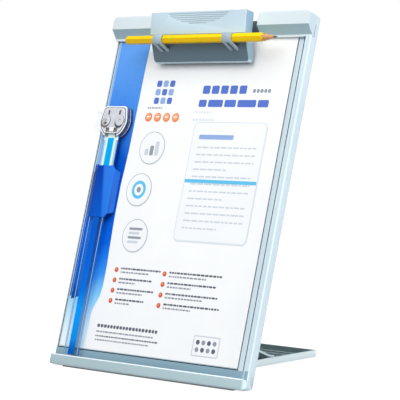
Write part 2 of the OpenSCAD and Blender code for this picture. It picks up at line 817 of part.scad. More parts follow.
module at_guide() {
    on_board() translate([slider_x - guide_shift, guide_y, 0]) rotate([0, 0, guide_tilt]) children();
}

module guide_shape(l) {
    circle(guide_end_r);
    translate([-guide_w / 2, -l]) square([guide_w, l]);
}

line_t = 0.3;
line_start = guide_end_r + 2;

module line_guide() {
    color([0.85, 0.93, 0.97, 0.5]) at_guide() difference() {
        translate([0, 0, guide_back]) linear_extrude(guide_t) guide_shape(guide_l);
        translate([0, 0, guide_back - 1]) cylinder(r = rivet_r + fit, h = guide_t + 2);
        slab(-line_w / 2, line_w / 2, -guide_l - 1, -line_start, guide_back + guide_t - line_t,
            guide_back + guide_t + 1);
    }
}

module guide_line() {
    color("#0f8fe0") at_guide()
        slab(-line_w / 2, line_w / 2, -guide_l, -line_start, guide_back + guide_t - line_t,
            guide_back + guide_t);
}

// A paper strap: a loop round the guide, with a wing sloping towards the page at each side. The
// left wing starts at the loop, the right one from a shoulder a little beyond it.
module paper_sleeve() {
    paper = 0.3;
    slack = 0.1;
    outer = guide_w / 2 + slack + paper;
    z0 = guide_back - slack - paper;
    z1 = guide_back + guide_t + slack + paper;
    tip_z = card_t + 2 * air + 0.2;
    left = guide_w / 2 + sleeve_left;
    right = guide_w / 2 + sleeve_right;
    top = -sleeve_down;
    foot = -sleeve_down - sleeve_l;
    color("#2f7fe0") at_guide() intersection() {
        along(foot, top) difference() {
            polygon(concat(
                [for (p = wing(right, right - 2.4, outer, z0, z1, tip_z, paper)) p],
                [for (p = flip(wing(left, outer + 0.2, outer, z0, z1, tip_z, paper))) [-p[0], p[1]]]));
            translate([paper - outer, z0 + paper]) square([2 * (outer - paper), z1 - z0 - 2 * paper]);
        }
        linear_extrude(z1 + 1) polygon([[outer, top + eps], [right, top - wing_slant],
            [right, foot + wing_slant], [outer, foot - eps], [-outer, foot - eps],
            [-left, foot + wing_slant], [-left, top - wing_slant], [-outer, top + eps]]);
    }
}

// Points round a wing and down the side of the loop, for a tip, a shoulder and the loop's side
function wing(tip, shoulder, side, z0, z1, tip_z, paper) =
    let (slope = (z1 - tip_z) / (tip - shoulder), thick = paper * sqrt(1 + 1 / slope ^ 2))
    [[shoulder, z1], [tip, tip_z], [tip - thick, tip_z], [shoulder + paper / slope - thick, z1 - paper],
     [side, z1 - paper], [side, z0]];

function flip(points) = [for (i = [len(points) - 1:-1:0]) points[i]];

// Leg and strut

module leg_outline(inset) {
    x = leg_w / 2 - inset;
    round_top(-x, x, -lug_r, leg_l - inset, inset > 0 ? leg_r / 2 : leg_r);
}

// Underside of the leg, measured from its hinge axis
leg_bottom = leg_pad_proud - leg_z;

module leg_pad_places() {
    x = leg_w / 2 - leg_pad_w / 2 - 2.2;
    for (side = [-1, 1]) translate([side * x, leg_l - leg_pad_l / 2 - 4, -leg_z]) children();
}

module leg_tray() {
    bottom = leg_bottom;
    height = leg_wall_up - bottom;
    knuckle = 9;
    inner = leg_w / 2 - leg_wall;
    color("#d5e2e8") translate([0, leg_y, leg_z]) difference() {
        union() {
            difference() {
                translate([0, 0, bottom]) linear_extrude(height) leg_outline(0);
                translate([0, 0, -leg_floor]) linear_extrude(height + 10) leg_outline(leg_wall);
                slab(-inner, inner, -lug_r - 1, leg_window, bottom - 1, leg_wall_up + 1);
                slab(-leg_w, leg_w, -20, 0, -20, 20);
            }
            for (side = [-1, 1]) translate([side * (leg_w / 2 - knuckle / 2), 0, 0]) {
                rod(lug_r, knuckle);
                slab(-knuckle / 2, knuckle / 2, 0, lug_r + 2, bottom, 0);
            }
            slab(-inner, inner, lug_r + 1, lug_r + 4, bottom, 0.6);
            for (i = [0:notches - 1]) let (y = foot_reach + i * notch_pitch + tooth_gap)
                slab(-inner, inner, y, y + tooth_t, -leg_floor - eps, tooth_h - leg_floor);
        }
        rod(hinge_pin_r + fit, leg_w + 2);
        for (i = [-1:notches - 1], side = [-1, 1])
            translate([side * inner * 0.44, foot_reach + i * notch_pitch + tooth_gap + tooth_t + 2.6, 0])
                cube([inner * 0.6, 3.6, 20], center = true);
        leg_pad_places() cube([leg_pad_w + 0.2, leg_pad_l + 0.2, 2 * leg_pad_t], center = true);
    }
}

module leg_pads() {
    color("#4a4f52") translate([0, leg_y, leg_z]) leg_pad_places()
        translate([-leg_pad_w / 2, -leg_pad_l / 2, 0]) cube([leg_pad_w, leg_pad_l, leg_pad_t]);
}

module leg_hinge_pin() {
    color(steel) translate([0, leg_y, leg_z]) rod(hinge_pin_r, leg_w + 2 * air + 2 * lug_t);
}

module at_strut() {
    translate([0, strut_y, strut_z]) rotate([strut_angle, 0, 0]) children();
}

module strut() {
    barrel = 2.8;
    flange = 3;
    color("#c3d4dc") at_strut() difference() {
        union() {
            rod(barrel, strut_w);
            slab(-strut_w / 2, strut_w / 2, 0, strut_l, -strut_t / 2, strut_t / 2);
            translate([0, strut_l, 0]) rod(foot_r, strut_w);
        }
        rod(hinge_pin_r + fit, strut_w + 2);
        slab(-strut_w / 2 + flange, strut_w / 2 - flange, barrel + flange, strut_l - foot_r - flange,
            strut_t / 2 - 0.8, strut_t);
    }
}

module strut_pin() {
    color(steel) translate([0, strut_y, strut_z]) rod(hinge_pin_r, strut_w + 2 * air + 2 * lug_t);
}

board_frame();
panel();
header_left();
header_right();
header_screws();
display_card();
ledge_pads();
clip_cover();
clip_jaw_pad();
clip_pin();
clip_spring();
pencil_hook_left();
pencil_hook_right();
pencil_coat();
pencil_wood();
pencil_lead();
slider_cap();
slider_carriage();
guide_rivet();
line_guide();
guide_line();
paper_sleeve();
leg_tray();
leg_pads();
leg_hinge_pin();
strut();
strut_pin();
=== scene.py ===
import json
import math
import random

import bmesh
import bpy
from mathutils import Matrix, Vector


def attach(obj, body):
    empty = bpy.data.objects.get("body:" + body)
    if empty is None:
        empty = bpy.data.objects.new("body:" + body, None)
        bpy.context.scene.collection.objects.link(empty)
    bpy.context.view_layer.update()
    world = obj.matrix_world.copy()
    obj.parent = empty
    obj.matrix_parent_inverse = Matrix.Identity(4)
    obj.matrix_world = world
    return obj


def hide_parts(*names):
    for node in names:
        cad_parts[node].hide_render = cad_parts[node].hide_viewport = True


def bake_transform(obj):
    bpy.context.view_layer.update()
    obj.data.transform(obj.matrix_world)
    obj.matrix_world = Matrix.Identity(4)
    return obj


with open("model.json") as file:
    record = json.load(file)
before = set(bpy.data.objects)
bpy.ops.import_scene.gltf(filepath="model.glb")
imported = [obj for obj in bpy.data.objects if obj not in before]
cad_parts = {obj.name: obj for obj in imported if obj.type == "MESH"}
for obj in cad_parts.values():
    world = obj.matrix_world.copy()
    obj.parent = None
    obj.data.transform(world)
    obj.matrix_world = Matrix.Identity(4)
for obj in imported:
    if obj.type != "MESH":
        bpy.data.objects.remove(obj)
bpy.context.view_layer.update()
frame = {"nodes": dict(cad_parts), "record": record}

NODES = frame["nodes"]
BODY = {node: body for body, nodes in frame["record"]["behaviour"]["bodies"].items() for node in nodes}
SLOT = {s["node"]: s["material_slot"] for s in frame["record"]["subparts"]}

# The board's own frame: u across, v up the board, w out of its face, in millimetres.
ANGLE = math.radians(73.6)
BOARD_Z = 9.281756
TO_ROW = Matrix.Translation((0, 0, BOARD_Z / 1000)) @ Matrix.Rotation(ANGLE, 4, "X") @ Matrix.Scale(0.001, 4)
TO_BOARD = TO_ROW.inverted()
HEADER_Y = 295.6
CHANNEL_Y = 6.9  # upper edge of the page channel
PAGE_X0 = -110.4
PAGE_Y0, PAGE_Y1 = 8.4, 305.4
CARD_W = 0.4
EDGE_X = 116.0
LEDGE_CORNER_X = 112.0  # where the ledge's front begins to turn at its ends
RAIL_X = 99.0  # the rail and its groove lie outside this
BRIDGE_X = 61.0  # half the width of the plate behind the clip
CLIP_END_X = 56.0
LEG_SIDE_X, LEG_INNER_X, LEG_INNER_Y = 36.0, 34.5, 191  # the leg's side, and the walls of its tray inside

# The slider and the line guide on it: the guide turns about a pivot and is stowed at a slight tilt
SLIDER = Vector((-93.2, 217.2, 0))
CAP_FRONT = 8.7
# Painted highlight: the bright line round the carriage's side lies between these heights
HIGHLIGHT_W0, HIGHLIGHT_W1 = 3.2, 3.7  # the bright line round the carriage's side
PIVOT = Vector((-93.6, 212.8, 0))
GUIDE_FRONT = 6.6
GUIDE_W, GUIDE_L = 18.0, 211.8
GUIDE_TILT = 0.9
# Above this height the guide takes a painted glare, milky white; below it the guide is clear
GUIDE_GLARE_Y = 160  # above this height the guide looks milky, below it clear
GUIDE_PLACE = Matrix.Translation(PIVOT) @ Matrix.Rotation(math.radians(GUIDE_TILT), 4, "Z")


def srgb(r, g, b):
    return tuple(((c / 255 + 0.055) / 1.055) ** 2.4 if c > 10 else c / 255 / 12.92 for c in (r, g, b)) + (1,)


# Materials

class Shader:
    """A node material with its Principled shader and a few short ways to add nodes."""

    def __init__(self, name):
        self.mat = bpy.data.materials.new(name)
        self.mat.use_nodes = True
        self.tree = self.mat.node_tree
        self.bsdf = self.tree.nodes["Principled BSDF"]
        self.coords = self.tree.nodes.new("ShaderNodeTexCoord").outputs["Object"]

    def node(self, kind, **values):
        n = self.tree.nodes.new(kind)
        for key, value in values.items():
            if key in n.inputs:
                n.inputs[key].default_value = value
            else:
                setattr(n, key, value)
        return n

    def link(self, a, b):
        self.tree.links.new(a, b)

    def noise(self, scale, detail=3.0, rough=0.5, stretch=None):
        n = self.node("ShaderNodeTexNoise", Scale=scale, Detail=detail, Roughness=rough)
        source = self.coords
        if stretch:
            m = self.node("ShaderNodeMapping", Scale=stretch)
            m.inputs["Rotation"].default_value = (-ANGLE, 0, 0)
            self.link(source, m.inputs["Vector"])
            source = m.outputs["Vector"]
        self.link(source, n.inputs["Vector"])
        return n.outputs["Fac"]

    def ramp(self, fac, stops):
        n = self.node("ShaderNodeValToRGB")
        els = n.color_ramp.elements
        while len(els) < len(stops):
            els.new(0.5)
        for el, (at, colour) in zip(els, stops):
            el.position = at
            el.color = colour
        self.link(fac, n.inputs["Fac"])
        return n.outputs["Color"]

    def spread(self, fac, low, high, to):
        n = self.node("ShaderNodeMapRange", **{"To Min": low, "To Max": high})
        n.inputs["From Min"].default_value = 0.3
        n.inputs["From Max"].default_value = 0.7
        self.link(fac, n.inputs["Value"])
        self.link(n.outputs["Result"], self.bsdf.inputs[to])

    def bump(self, fac, strength, distance):
        n = self.node("ShaderNodeBump", Strength=strength, Distance=distance)
        self.link(fac, n.inputs["Height"])
        self.link(n.outputs["Normal"], self.bsdf.inputs["Normal"])

    def mottle(self, colour, amount, scale=14.0):
        low = tuple(c * (1 - amount) for c in colour[:3]) + (1,)
        high = tuple(min(1, c * (1 + amount)) for c in colour[:3]) + (1,)
        self.link(self.ramp(self.noise(scale), [(0.3, low), (0.7, high)]), self.bsdf.inputs["Base Color"])


def moulded(name, colour, rough=0.42, amount=0.03, grain=0.12, specular=0.5):
    """Moulded plastic: faint flow marks in the colour, an eroded fine grain, and a satin gloss."""
    s = Shader(name)
    s.mottle(colour, amount)
    s.spread(s.noise(420, 2), rough - 0.05, rough + 0.07, "Roughness")
    s.bump(s.noise(1900, 2, 0.6), grain, 0.0002)
    s.bsdf.inputs["Specular IOR Level"].default_value = specular
    return s.mat


def clear(name, colour, rough=0.06, amount=0.02, alpha=0.3, coat=0.0):
    """Thin clear plastic: a faint tint over what lies behind it, and a polished skin."""
    s = Shader(name)
    s.mottle(colour, amount, 60)
    s.spread(s.noise(240, 2), rough, rough + 0.05, "Roughness")
    s.bump(s.noise(90, 1), 0.08, 0.0004)
    s.bsdf.inputs["Alpha"].default_value = alpha
    s.bsdf.inputs["Coat Weight"].default_value = coat
    return s.mat


def steel():
    s = Shader("bright_steel")
    s.mottle(srgb(196, 199, 203), 0.06, 300)
    s.spread(s.noise(900, 2, stretch=(0.05, 1, 1)), 0.22, 0.36, "Roughness")
    s.bump(s.noise(1500, 2, stretch=(0.04, 1, 1)), 0.1, 0.0001)
    s.bsdf.inputs["Metallic"].default_value = 1.0
    return s.mat


def rubber(name, colour):
    s = Shader(name)
    s.mottle(colour, 0.12, 80)
    s.spread(s.noise(500, 2), 0.62, 0.8, "Roughness")
    s.bump(s.noise(2200, 2), 0.35, 0.0003)
    return s.mat


def coated_card(name, colour, gloss=0.3, specular=0.5):
    """Coated board with a faint mottle of its paper and a soft sheen of varnish."""
    s = Shader(name)
    s.mottle(colour, 0.012, 30)
    s.spread(s.noise(160, 3), gloss, gloss + 0.1, "Roughness")
    s.bump(s.noise(260, 3), 0.05, 0.0002)
    s.bsdf.inputs["Specular IOR Level"].default_value = specular
    return s.mat


def lacquer(name, colour):
    s = Shader(name)
    s.mottle(colour, 0.05, 25)
    s.spread(s.noise(200, 2), 0.26, 0.34, "Roughness")
    s.bump(s.noise(350, 2, stretch=(0.12, 1, 1)), 0.05, 0.0002)
    s.bsdf.inputs["Specular IOR Level"].default_value = 0.15
    return s.mat


def along_board(s, low, high):
    """How far up the board a point lies, from 0 at low metres to 1 at high metres."""
    dot = s.node("ShaderNodeVectorMath", operation="DOT_PRODUCT")
    dot.inputs[1].default_value = (0, math.cos(ANGLE), math.sin(ANGLE))
    s.link(s.coords, dot.inputs[0])
    place = s.node("ShaderNodeMapRange", **{"From Min": low, "From Max": high})
    return dot.outputs["Value"], place


def line_ink():
    """The guide's line: bright cyan near the pivot, where the colour is a painted highlight; deep blue below,
    brighter again at its end.
    """
    s = Shader("line_ink")
    value, place = along_board(s, 0.01, 0.22)
    s.link(value, place.inputs["Value"])
    s.link(s.ramp(place.outputs["Result"], [
        (0.0, srgb(0, 84, 178)), (0.03, srgb(0, 104, 200)), (0.07, srgb(0, 146, 238)),
        (0.2, srgb(0, 154, 248)), (0.28, srgb(0, 112, 226)), (0.42, srgb(0, 100, 216)),
        (0.56, srgb(0, 90, 200)), (0.76, srgb(0, 104, 206)), (0.8, srgb(0, 168, 236)),
        (1.0, srgb(0, 174, 242))]), s.bsdf.inputs["Base Color"])
    s.spread(s.noise(240, 2), 0.2, 0.3, "Roughness")
    s.bump(s.noise(90, 1), 0.08, 0.0004)
    s.bsdf.inputs["Specular IOR Level"].default_value = 0.1
    return s.mat


def sleeve_paper():
    """The blue strap: its left side lies in shade up to a slanting crease, and lightens downwards."""
    s = Shader("sleeve_paper")
    value, _ = along_board(s, 0, 1)
    parts = s.node("ShaderNodeSeparateXYZ")
    s.link(s.coords, parts.inputs[0])
    slant = s.node("ShaderNodeMath", operation="MULTIPLY_ADD")
    slant.inputs[1].default_value = 0.194
    s.link(value, slant.inputs[0])
    s.link(parts.outputs["X"], slant.inputs[2])
    side = s.node("ShaderNodeMapRange", **{"From Min": -0.0612, "From Max": -0.0572})
    side.interpolation_type = "SMOOTHSTEP"
    s.link(slant.outputs["Value"], side.inputs["Value"])
    height = s.node("ShaderNodeMapRange", **{"From Min": 0.13, "From Max": 0.185})
    s.link(value, height.inputs["Value"])
    shade = s.ramp(height.outputs["Result"], [(0.0, srgb(0, 98, 216)), (1.0, srgb(0, 60, 170))])
    light = s.ramp(height.outputs["Result"], [(0.0, srgb(36, 122, 228)), (1.0, srgb(46, 120, 228))])
    mix = s.node("ShaderNodeMix", data_type="RGBA")
    s.link(side.outputs["Result"], mix.inputs["Factor"])
    s.link(shade, mix.inputs[6])
    s.link(light, mix.inputs[7])
    s.link(mix.outputs[2], s.bsdf.inputs["Base Color"])
    s.spread(s.noise(160, 3), 0.4, 0.5, "Roughness")
    s.bump(s.noise(120, 3), 0.08, 0.0004)
    s.bsdf.inputs["Specular IOR Level"].default_value = 0.1
    return s.mat


def cedar():
    s = Shader("cedar")
    grain = s.noise(700, 4, stretch=(0.08, 1, 1))
    s.link(s.ramp(grain, [(0.3, srgb(176, 116, 66)), (0.5, srgb(206, 150, 96)), (0.7, srgb(224, 172, 120))]),
           s.bsdf.inputs["Base Color"])
    s.spread(s.noise(400, 2), 0.55, 0.7, "Roughness")
    s.bump(grain, 0.3, 0.0002)
    return s.mat


def graphite():
    s = Shader("graphite")
    s.mottle(srgb(58, 58, 62), 0.15, 400)
    s.spread(s.noise(900, 2), 0.3, 0.45, "Roughness")
    s.bump(s.noise(1600, 2), 0.2, 0.0001)
    return s.mat


BODY_BLUE = srgb(206, 226, 232)
MATS = {
    "body_plastic": moulded("body_plastic", BODY_BLUE, 0.4),
    "panel_plastic": moulded("panel_plastic", srgb(194, 214, 223), 0.4),
    "clip_plastic": moulded("clip_plastic", srgb(200, 222, 234), 0.38),
    "hook_plastic": moulded("hook_plastic", srgb(166, 186, 196), 0.3, grain=0.08),
    "slider_plastic": clear("slider_plastic", srgb(226, 234, 244), 0.1, alpha=0.16, coat=0.3),
    "clear_plastic": clear("clear_plastic", srgb(130, 196, 255), alpha=0.05),
    "line_ink": line_ink(),
    "steel": steel(),
    "rubber": rubber("dark_rubber", srgb(70, 76, 80)),
    "card": coated_card("white_card", srgb(252, 253, 254)),
    "paper": sleeve_paper(),
    "lacquer": lacquer("yellow_lacquer", srgb(255, 214, 6)),
    "wood": cedar(),
    "graphite": graphite(),
}
# Second colours for some faces. Most are painted light and shade: lit and shaded copies of the plastics, painted
# highlights, reflections, glare and shadows; a few are colours of their own.
SHADED = {
    # Painted shade on the channel below the page, on the faces of the rails and board, and on the right-facing
    # sides
    "channel": moulded("channel_painted_shade", srgb(140, 172, 188), 0.4),
    "rail_face_shade": moulded("rail_face_shade", srgb(205, 222, 231), 0.4),
    "rail_side_shade": moulded("rail_side_shade", srgb(201, 217, 225), 0.4),
    # Painted light on the headers' fronts
    "hood_front_lit": moulded("hood_front_lit", srgb(215, 227, 232), 0.4),
    # Painted shade in the gaps round the panel, on the plate behind the clip and on the ledge's front; a painted
    # highlight on the ledge's rim
    "gap": moulded("gap_painted_shade", srgb(36, 52, 58), 0.5),
    "bridge": moulded("bridge_painted_shade", srgb(62, 76, 80), 0.5),
    "ledge_front_shade": moulded("ledge_front_shade", srgb(178, 200, 206), 0.4),
    "ledge_rim_highlight": moulded("ledge_rim_highlight", srgb(236, 248, 252), 0.35),
    # Painted shade under the headers' ridges, painted light on their lips
    "hood_under_shade": moulded("hood_under_shade", srgb(170, 198, 206), 0.45),
    "hood_lip_lit": moulded("hood_lip_lit", srgb(240, 250, 255), 0.4),
    # Painted shade under the clip
    "clip_under_shade": moulded("clip_under_shade", srgb(86, 109, 122), 0.42),
    "clip_end": moulded("clip_end", srgb(143, 175, 196), 0.38),
    # A painted highlight on the clip's bevelled edges, and painted shade on the steps and risers of its grips
    "clip_rim_highlight": moulded("clip_rim_highlight", srgb(228, 240, 248), 0.3),
    "clip_step_shade": moulded("clip_step_shade", srgb(176, 199, 210), 0.4),
    "clip_riser_shade": moulded("clip_riser_shade", srgb(132, 158, 170), 0.4),
    # Painted shade inside the leg's tray, painted light on its sides
    "leg_inside_shade": moulded("leg_inside_shade", srgb(128, 148, 150), 0.5),
    "leg_side_lit": moulded("leg_side_lit", srgb(226, 240, 244), 0.4),
    "pad_rubber": rubber("pad_rubber", srgb(200, 206, 208)),
    "cap_plate": moulded("cap_plate", srgb(212, 213, 220), 0.28, grain=0.06),
    # Painted highlights on the slider's rims, painted shade in its slots and recesses, a painted dark reflection on
    # the carriage's wall and a painted shadow on its foot
    "cap_rim_highlight": moulded("cap_rim_highlight", srgb(246, 248, 252), 0.2, grain=0.04),
    "cap_shade": moulded("cap_shade", srgb(70, 72, 82), 0.4, grain=0.04),
    "cap_recess_shade": moulded("cap_recess_shade", srgb(128, 118, 112), 0.4, grain=0.04),
    "cap_wall_reflection": clear("cap_wall_reflection", srgb(70, 66, 112), 0.3, alpha=0.85),
    "cap_foot_shadow": clear("cap_foot_shadow", srgb(0, 34, 104), 0.5, alpha=0.85),
    # A grey patch on the slider's left disc
    "cap_grey_patch": moulded("cap_grey_patch", srgb(186, 188, 182), 0.4, grain=0.04),
    # A painted reflection of the blue band on the guide's edges, a painted glare on its top, and painted highlight
    # and shade lines along it
    "clear_edge_reflection": clear("clear_edge_reflection", srgb(40, 112, 196), 0.1, alpha=0.4),
    "clear_top_glare": clear("clear_top_glare", srgb(228, 252, 255), 0.08, alpha=0.97),
    "edge_highlight": clear("edge_highlight", srgb(140, 208, 255), 0.2, alpha=0.85),
    "edge_shade_line": clear("edge_shade_line", srgb(0, 62, 140), 0.2, alpha=0.65),
    "sleeve_wing": coated_card("sleeve_wing", srgb(38, 104, 206), 0.4, specular=0.1),
    # Painted shade on the pencil's lower facets
    "lacquer_shade": lacquer("yellow_lacquer_shaded", srgb(255, 204, 0)),
}


# Pieces made from the solids: the same shapes with their edges rounded as moulding leaves them.
# A painter gives some faces a second colour, most of them painted light and shade, by their middle and normal in
# the board's frame.

def on_end(edge):
    """True for an edge of a header block round its outer end, in front of the board's face."""
    flush = all(abs(abs(v.co.x * 1000) - EDGE_X) < 0.02 for v in edge.verts)
    return (flush and len(edge.link_faces) == 2 and edge.calc_face_angle() > 0.5
            and sum((TO_BOARD @ v.co).z for v in edge.verts) > 7)


def on_ledge_corner(edge):
    """True for an edge at one of the ledge's two outer corners."""
    places = [TO_BOARD @ v.co for v in edge.verts]
    corner = all(c.y < -1 and abs(c.x) > LEDGE_CORNER_X - 0.1 for c in places)
    return corner and len(edge.link_faces) == 2 and 0.3 < edge.calc_face_angle() < 2


def round_edges(bm, chosen, size, segments):
    bmesh.ops.bevel(bm, geom=[e for e in bm.edges if chosen(e)], offset=size / 1000, segments=segments, profile=0.5,
                    affect="EDGES", clamp_overlap=True)


def soften(node, width, segments=2, painter=None, tones=(), cuts=(), rim=None, round_end=0.0, round_corner=0.0):
    """A softened copy of a node. cuts are (axis, place) planes that part its faces for the painter."""
    mesh = NODES[node].data.copy()
    bm = bmesh.new()
    bm.from_mesh(mesh)
    bmesh.ops.remove_doubles(bm, verts=bm.verts, dist=2e-6)
    bmesh.ops.dissolve_limit(bm, angle_limit=math.radians(0.5), verts=bm.verts, edges=bm.edges)
    for axis, at in cuts:
        normal = Vector([float(i == axis) for i in range(3)])
        bmesh.ops.bisect_plane(bm, geom=bm.verts[:] + bm.edges[:] + bm.faces[:], dist=1e-7,
                               plane_co=TO_ROW @ (normal * at), plane_no=TO_ROW.to_3x3() @ normal)
    mesh.materials.clear()
    mesh.materials.append(MATS[SLOT[node]])
    for tone in tones:
        mesh.materials.append(SHADED[tone])
    if painter:
        turn = TO_BOARD.to_3x3()
        for face in bm.faces:
            tone = painter(TO_BOARD @ face.calc_center_median(), (turn @ face.normal).normalized())
            face.material_index = 1 + tones.index(tone) if tone else 0
    if round_end:
        round_edges(bm, on_end, round_end, 5)
    if round_corner:
        round_edges(bm, on_ledge_corner, round_corner, 3)
    bm.to_mesh(mesh)
    bm.free()
    piece = bpy.data.objects.new(node + "_moulded", mesh)
    bpy.context.scene.collection.objects.link(piece)
    bevel = piece.modifiers.new("edges", "BEVEL")
    bevel.width = width / 1000
    bevel.segments = segments
    bevel.limit_method = "ANGLE"
    bevel.angle_limit = math.radians(28)
    bevel.use_clamp_overlap = True
    bevel.harden_normals = True
    if rim:
        bevel.material = 1 + tones.index(rim)
    if round_end:
        piece.modifiers.new("flat faces", "WEIGHTED_NORMAL")
    mesh.shade_smooth()
    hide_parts(node)
    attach(piece, BODY[node])
    return piece


def paint_board(c, n):
    """Painted shade in the gaps round the panel, on the plate behind the clip, on the channel, on the ledge's front
    and on the faces and right sides of the rails; a painted highlight on the ledge's rim.
    """
    if -1.9 < c.z < -0.05 and c.y > 6 and abs(n.y) < 0.9 and n.z > -0.1 and abs(c.x) < EDGE_X - 0.5:
        return "gap"
    if c.y > HEADER_Y and abs(c.x) < BRIDGE_X and n.z > 0.9 and c.z > 2:
        return "bridge"
    if n.x > 0.9 and c.x > EDGE_X - 0.1:
        return "rail_side_shade"
    if n.z > 0.9 and (abs(c.z) < 0.05 and c.y > CHANNEL_Y or abs(c.x) > RAIL_X and c.y > 4 and c.z > 2):
        return "rail_face_shade"
    if c.y < -1 and n.z > 0.9 and c.z > 7:
        return "ledge_front_shade"
    if c.y > -1.5 and c.z > 5.7 and c.y < 1 and n.y > 0.2 and abs(n.x) < 0.3:
        return "ledge_rim_highlight"
    low_front = c.y < CHANNEL_Y and -0.1 < c.z < 5.7
    return "channel" if low_front and (n.z > 0.9 or n.y > 0.9 or n.z < -0.9) else None


def paint_hood(c, n):
    """Painted light on the lip above the page and on the front, painted shade below the ridge and on the right
    outer end.
    """
    if n.x > 0.9 and c.x > EDGE_X - 0.1:
        return "rail_side_shade"
    if n.z > 0.8 and c.y < HEADER_Y + 2:
        return "hood_lip_lit"
    if n.y < -0.4 and n.z > 0.2:
        return "hood_under_shade"
    return "hood_front_lit" if n.z > 0.5 and abs(n.x) < 0.3 else None


def paint_clip(c, n):
    """Blue ends; painted shade on the underside, and painted shade on the grips' steps and risers so that they
    stand out.
    """
    if abs(n.x) > 0.9 and abs(c.x) > CLIP_END_X - 0.1:
        return "clip_end"
    if c.y > HEADER_Y and c.z > 19.5 and abs(c.x) < 50:
        if -0.45 < n.y < -0.35 and n.z > 0.8:
            return "clip_step_shade"
        if abs(n.y) > 0.8:
            return "clip_riser_shade"
    return "clip_under_shade" if c.y < HEADER_Y - 1 and n.y < -0.3 and n.z > 0.5 else None


def paint_leg(c, n):
    """Painted shade inside the tray, and painted light along its sides."""
    row = TO_ROW @ c * 1000
    normal = TO_ROW.to_3x3() @ n
    if abs(n.x) > 0.9 and abs(row.x) > LEG_SIDE_X - 0.2:
        return "leg_side_lit"
    inside = row.z < 7 and abs(row.x) < LEG_INNER_X and row.y < LEG_INNER_Y
    floor_top = normal.z > 0 and row.z < 3
    return "leg_inside_shade" if inside and (floor_top or abs(normal.z) < 1e-4) else None


def paint_cap(c, n):
    """The plate is grey, with a painted highlight on its rims; painted shade in the latch slots above, on the notch
    below, on the recessed faces and on the upper side walls.
    """
    if abs(n.z) > 0.5:
        if n.z < 0:
            return None
        return "cap_recess_shade" if c.z < CAP_FRONT - 0.6 else "cap_rim_highlight" if c.z < CAP_FRONT - 0.2 else "cap_plate"
    if abs(c.x - SLIDER.x) < 7.7 and abs(c.y - 225.5) < 2.5:
        return "cap_shade"
    if abs(c.x - SLIDER.x) < 7.4 and c.y < 211.4 and c.z > CAP_FRONT - 1.6:
        return "cap_recess_shade"
    return "cap_shade" if c.z > CAP_FRONT - 0.6 else None


def paint_carriage(c, n):
    """The side is painted in layers, as clear plastic shows it: a painted shadow on the blue foot, a painted
    highlight line and a painted dark reflection on the wall above; painted shade in the latch slots.
    """
    if c.z > CAP_FRONT and abs(abs(c.x - SLIDER.x) - 6.8) < 1:
        return "cap_shade"
    if abs(n.z) > 0.5 or c.x < SLIDER.x + 2:
        return None
    return "cap_foot_shadow" if c.z < HIGHLIGHT_W0 else "cap_rim_highlight" if c.z < HIGHLIGHT_W1 else "cap_wall_reflection"


def paint_guide(c, n):
    """A painted reflection of the blue band on the edges, and a painted glare, milky white, on the top."""
    if abs(n.x) > 0.9 and abs(abs((GUIDE_PLACE.inverted() @ c).x) - GUIDE_W / 2) < 0.1:
        return "clear_edge_reflection"
    return "clear_top_glare" if c.y > GUIDE_GLARE_Y and c.z > 6 else None


def paint_sleeve(c, n):
    """The right wing has its own blue."""
    return "sleeve_wing" if n.x > 0.3 and c.x > -84 else None


def paint_pencil(c, n):
    """Painted shade: the lower facets are deeper in colour."""
    return "lacquer_shade" if n.y < 0.1 else None


HOOD = ("hood_under_shade", "hood_lip_lit", "hood_front_lit", "rail_side_shade")
soften("header_left", 0.25, painter=paint_hood, tones=HOOD, round_end=2.8)
soften("header_right", 0.25, painter=paint_hood, tones=HOOD, round_end=2.8)
# The clip's bevelled edges take a painted highlight
soften("clip_cover", 0.35, painter=paint_clip, rim="clip_rim_highlight",
       tones=("clip_under_shade", "clip_end", "clip_rim_highlight", "clip_step_shade", "clip_riser_shade"))
soften("pencil_hook_left", 0.25)
soften("pencil_hook_right", 0.25)
soften("leg_tray", 0.3, painter=paint_leg, tones=("leg_inside_shade", "leg_side_lit"))
soften("strut", 0.4)
soften("slider_carriage", 0.25, painter=paint_carriage, cuts=((2, HIGHLIGHT_W0), (2, HIGHLIGHT_W1)),
       tones=("cap_shade", "cap_wall_reflection", "cap_rim_highlight", "cap_foot_shadow"))
soften("slider_cap", 0.15, painter=paint_cap, tones=("cap_plate", "cap_rim_highlight", "cap_shade", "cap_recess_shade"))
soften("line_guide", 0.2, painter=paint_guide, tones=("clear_edge_reflection", "clear_top_glare"),
       cuts=((1, GUIDE_GLARE_Y),))
soften("paper_sleeve", 0.1, painter=paint_sleeve, tones=("sleeve_wing",))
soften("board_frame", 0.3, painter=paint_board, cuts=((1, CHANNEL_Y),), round_corner=1.2,
       tones=("channel", "gap", "bridge", "ledge_front_shade", "ledge_rim_highlight", "rail_face_shade", "rail_side_shade"))
soften("pencil_coat", 0.3, segments=3, painter=paint_pencil, tones=("lacquer_shade",))

# The spring's upper arm rests on the clip's inner wall; a steel copy of the spring stands in its place
spring = bpy.data.objects.new("clip_spring_coiled", NODES["clip_spring"].data.copy())
spring.data.materials.clear()
spring.data.materials.append(MATS["steel"])
bpy.context.scene.collection.objects.link(spring)
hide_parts("clip_spring")
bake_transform(spring)

for name, obj in NODES.items():
    obj.data.materials.clear()
    obj.data.materials.append(SHADED["pad_rubber"] if name == "ledge_pads" else MATS[SLOT[name]])


# Print on the card: a colour band, plain rings, discs and rows of bars; nothing on it is lettering

